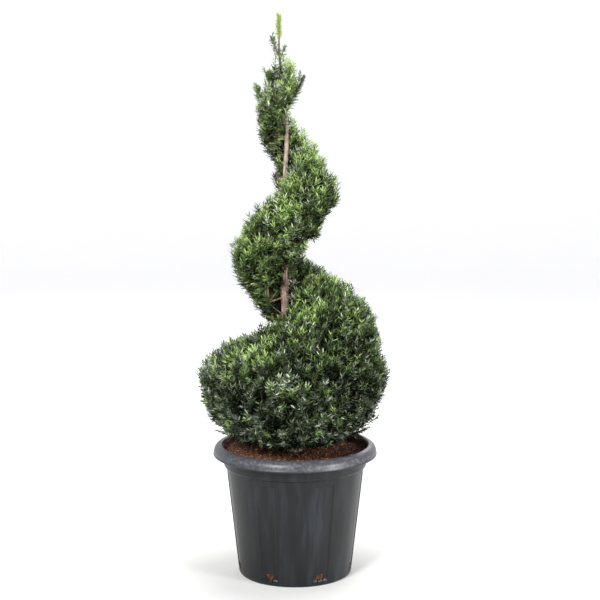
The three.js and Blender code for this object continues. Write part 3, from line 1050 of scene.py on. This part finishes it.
def growLeader():
    generator = np.random.default_rng(21)
    low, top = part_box("leader_tuft_left")[0].z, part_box("leader_tuft_left")[1].z
    foot, tip = stemAt(low - 0.004), stemAt(stemTop)
    short = leader["needleLength"]
    rows = [("leader", foot, tip, 0.004, short, 0.12)]
    for i in range(leader["tuftShoots"]):
        start = stemAt(mix(low, stemTop, 0.05 + 0.1 * i))
        angle = 2.4 * i
        way = np.array([0.24 * math.cos(angle), 0.24 * math.sin(angle), 1])
        rows.append(("leader", start, start + unit(way) * leader["tuftLength"], 0, short, 0.2))
    size = leader["sideNeedles"]
    for name, drop in zip(nodesNamed("side_shoot"), leader["sideDrops"]):
        points = nodePoints(name) - [0, 0, drop]
        foot, tip = points[points[:, 2].argmin()], points[points[:, 2].argmax()]
        rows += [("fresh", foot, tip, 0.008, size, 0), ("mid", foot, tip, 0.014, size, 0)]
    for name, point in spikeTips.items():
        _, way, length, needleLength, kind = spikes[name]
        foot = point - unit(np.array(way)) * length
        rows += [(kind, foot, point, leader["spikeDrop"], needleLength, 0)] * 2
        for share in (0.84, 0.72, 0.6):
            end = mix(foot, point, share) + generator.normal(0, 0.006, 3)
            rows.append((kind, foot, end, 0.008, needleLength, 0))
    for axis, _ in boughAxes:
        for _ in range(leader["boughShoots"]):
            start = mix(axis[2], axis[4], generator.uniform(0.2, 1))
            way = unit(axis[4] - axis[0]) + 0.5 * up + generator.normal(0, 0.4, 3)
            length = generator.uniform(0.022, 0.034)
            rows.append(("mid", start, start + unit(way) * length, 0.008, size, 0))
    kinds, feet, ends, cuts, sizes, closed = (np.array(part) for part in zip(*rows))
    lengths = lengthOf(ends - feet) - cuts
    ways = unit(ends - feet)
    points, shape, shoot, _, bends = growNeedles(
        feet, ways, lengths, generator, leader["gap"], sizes, closed)
    points[..., 2] = np.minimum(points[..., 2], top + 0.004)
    storeNeedles(kinds[shoot], points, shape)
    shoots.append((feet[1:], ways[1:], lengths[1:], bends[1:], np.full(len(feet) - 1, -1)))
    print("leader and standing shoots:", len(points), "needles")


growLeader()
buildNeedles()
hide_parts(*nodesNamed("leader_tuft"),
            *nodesNamed("side_shoot"))


# Limbs fork from stem to bough, branchlet, twig and shoot.
twigs = {
    "shootsPerBough": 60,
    "shootsPerBranchlet": 8,
    # The earliest share of a limb at which another leaves it, how far short of its goal that one
    # ends, and how much it wanders.
    "branchletFork": (0.4, 0.22, 0.07),
    "twigFork": (0.45, 0, 0.08),
    # Rings and sides of each limb, and its radius at its foot and at its end.
    "limbs": {
        "bough": (9, 6, (0.0032, 0.0017)),
        "branchlet": (5, 4, (0.0016, 0.001)),
        "twig": (4, 3, (0.00095, 0.0007)),
    },
    "stalk": (3, 3, (0.0007, 0.0004)),
}


def spreadOut(points, count):
    # Indices of points that lie as far from each other as they can.
    chosen = [int(lengthOf(points - points.mean(0)).argmax())]
    distance = lengthOf(points - points[chosen[0]])
    while len(chosen) < min(count, len(points)):
        chosen.append(int(distance.argmax()))
        distance = np.minimum(distance, lengthOf(points - points[chosen[-1]]))
    return chosen


def nearestOf(points, middles):
    gaps = np.linalg.norm(points[:, None] - middles[None], axis=2)
    return gaps.argmin(1)


def underside(owner, end):
    # Height of a mass's underside beside the stem, on the side where a bough ends.
    points = nodePoints(massNames[owner])
    near = points[reachOf(points) < 1.2 * stemRadius(points[:, 2]) + 0.004]
    way = unit((end - stemAt(end[2]))[:2])
    turned = unit((near - stemAt(near[:, 2]))[:, :2]) @ way
    return near[turned > min(0.85, turned.max() - 0.02), 2].min()


def forkOff(limb, goal, earliest, short, wander, generator):
    # A limb that leaves another part of the way along it and bends towards its goal.
    start, bend, end = limb
    t = generator.uniform(earliest, 1)
    fork = bentAt(start, bend, end, t)
    goal = mix(goal, fork, short)
    apart = np.linalg.norm(goal - fork)
    onward = unit((1 - t) * (bend - start) + t * (end - bend))
    turn = mix(fork, goal, 0.3) + onward * apart * 0.25
    return fork, turn + generator.normal(0, wander, 3) * apart, goal


def growTwigs():
    generator = np.random.default_rng(31)
    feet, _, _, _, owners = (np.concatenate(part) for part in zip(*shoots))
    boughTips = np.array([axis[-1] for axis, _ in boughAxes])
    limbs = {kind: [] for kind in twigs["limbs"]}
    for owner in range(len(massNames)):
        mine = feet[owners == owner]
        heads = mine[spreadOut(mine, max(3, len(mine) // twigs["shootsPerBough"]))]
        groups = nearestOf(mine, heads)
        for g in range(len(heads)):
            cluster = mine[groups == g]
            middle = cluster.mean(0)
            axisPoint = stemAt(middle[2])
            end = mix(middle, axisPoint, 0.25)
            reach = np.linalg.norm((end - axisPoint)[:2])
            rise = reach * generator.uniform(0.35, 0.9)
            lowest = max(underside(owner, end) + 0.015, soilLevel + 0.01)
            start = stemAt(np.clip(end[2] - rise, lowest, stemTop - 0.12))
            gaps = lengthOf(boughTips - end)
            if gaps.min() < 0.08 and boughTips[gaps.argmin()][2] < end[2]:
                start = boughTips[gaps.argmin()]
            limb = (start, mix(start, end, 0.5) + generator.normal(0, 0.004, 3), end)
            limbs["bough"].append(limb)
            count = max(1, len(cluster) // twigs["shootsPerBranchlet"])
            goals = cluster[spreadOut(cluster, count)]
            subgroups = nearestOf(cluster, goals)
            for h in range(len(goals)):
                sprays = cluster[subgroups == h]
                branchlet = forkOff(limb, sprays.mean(0), *twigs["branchletFork"], generator)
                limbs["branchlet"].append(branchlet)
                limbs["twig"] += [forkOff(branchlet, spray, *twigs["twigFork"], generator)
                                  for spray in sprays]
    for kind, (rings, sides, radii) in twigs["limbs"].items():
        paths = curved(*(np.array(part) for part in zip(*limbs[kind])), rings)
        radii = np.broadcast_to(np.linspace(*radii, rings), paths.shape[:2])
        points, triangles = tubes(paths, radii, sides)
        piece = meshPiece(f"{kind}_wood", points, triangles, twigFinish)
        settle(piece, massNames if kind == "twig" else ())
        print(len(paths), f"{kind}s in", len(triangles), "triangles")


def growStalks():
    feet, ways, lengths, bends, _ = (np.concatenate(part) for part in zip(*shoots))
    rings, sides, radii = twigs["stalk"]
    t = np.linspace(0, 1, rings)[:, None]
    paths = feet[:, None] + (ways * lengths[:, None])[:, None] * t + bends[:, None] * t ** 2
    radii = np.broadcast_to(np.linspace(*radii, rings), paths.shape[:2])
    points, triangles = tubes(paths, radii, sides)
    piece = meshPiece("shoot_stalks", points, triangles, stalkFinish)
    settle(piece)
    print("shoot stalks", len(triangles), "triangles")


growTwigs()
growStalks()


studio = {
    "floorRadius": 6.5,
    "coveRadius": 2.0,
    "wallHeight": 5.5,
    "paintGlow": 0.34,
    "skyStrength": 0.22,
    "cameraPlace": (0.012, -3.6, 1.188),
    "cameraTilt": 8.13,        # degrees down
    "lens": 90.5,              # mm, on a 36 mm sensor
    "lights": [
        # name, place, aimed at, width, height, power
        ("key_left", (-1.5, -2.9, 2.4), (0, 0, 0.7), 1.0, 1.0, 215),
        ("fill_right", (2.7, -2.0, 1.1), (0, 0, 0.45), 1.0, 1.4, 135),
        ("top", (0.3, 0.2, 3.6), (0, 0, 0.6), 1.4, 1.4, 112),
        ("behind", (0.8, 3.2, 2.4), (0, 0, 0.8), 2.0, 1.6, 50),
    ],
}


def makeFloor():
    # A round floor that curves up into a wall, so no edge shows from any side.
    radius, cove, top = studio["floorRadius"], studio["coveRadius"], studio["wallHeight"]
    outline = [(0.4, 0), (radius, 0)]
    for i in range(1, 13):
        turn = math.radians(i * 7.5)
        outline.append((radius + cove * math.sin(turn), cove * (1 - math.cos(turn))))
    outline.append((radius + cove, top))
    bpy.ops.object.select_all(action="DESELECT")
    floor = drawRings(outline, 96)
    floor.name = "studio_floor"
    selectFaces(floor, lambda face: face.center.z > top - 0.001)   # the lid
    bpy.ops.mesh.delete(type="FACE")
    bpy.ops.mesh.select_all(action="SELECT")
    bpy.ops.mesh.flip_normals()
    bpy.ops.object.mode_set(mode="OBJECT")
    bpy.ops.object.shade_smooth()
    # Matt paint that is painted lighter towards the back and darker towards the front, as painted
    # light and shade, and glows a little as painted light, so no side falls dark.
    material, tree, place = newMaterial(
        "studio_paint_matt", {"Roughness": 0.9, "Emission Strength": studio["paintGlow"]})
    depth = addNode(tree, "ShaderNodeSeparateXYZ", links={"Vector": place})
    share = addNode(tree, "ShaderNodeMapRange", {"From Min": -3.0, "From Max": 3.0},
                    {"Value": depth.outputs["Y"]})
    tone = addNode(tree, "ShaderNodeValToRGB", links={"Fac": share.outputs["Result"]},
                   stops=[(0, "#727274"), (0.5, "#b9b9b7"), (0.8, "#ececee"), (1, "#f8f8fa")])
    floor.data.materials.append(finished(
        material, dict.fromkeys(["Base Color", "Emission Color"], tone.outputs["Color"])))


def makeLights():
    for name, place, aim, width, height, power in studio["lights"]:
        lamp = bpy.data.lights.new(name, "AREA")
        lamp.shape = "RECTANGLE"
        lamp.size, lamp.size_y, lamp.energy = width, height, power
        holder = addObject(name, lamp)
        holder.location = place
        way = Vector(aim) - Vector(place)
        holder.rotation_euler = way.to_track_quat("-Z", "Y").to_euler()
    world = bpy.data.worlds.new("studio_world")
    world.use_nodes = True
    background = world.node_tree.nodes["Background"]
    background.inputs["Color"].default_value = hexColour("#fdfdff")
    background.inputs["Strength"].default_value = studio["skyStrength"]
    bpy.context.scene.world = world


def makeCamera():
    camera = addObject("camera", bpy.data.cameras.new("camera"))
    camera.data.sensor_width = 36
    camera.data.lens = studio["lens"]
    camera.location = studio["cameraPlace"]
    camera.rotation_euler = (math.radians(90 - studio["cameraTilt"]), 0, 0)
    bpy.context.scene.camera = camera


makeFloor()
makeLights()
makeCamera()
print("studio with", len(studio["lights"]), "lights")
bpy.context.scene.view_settings.view_transform = "Standard"
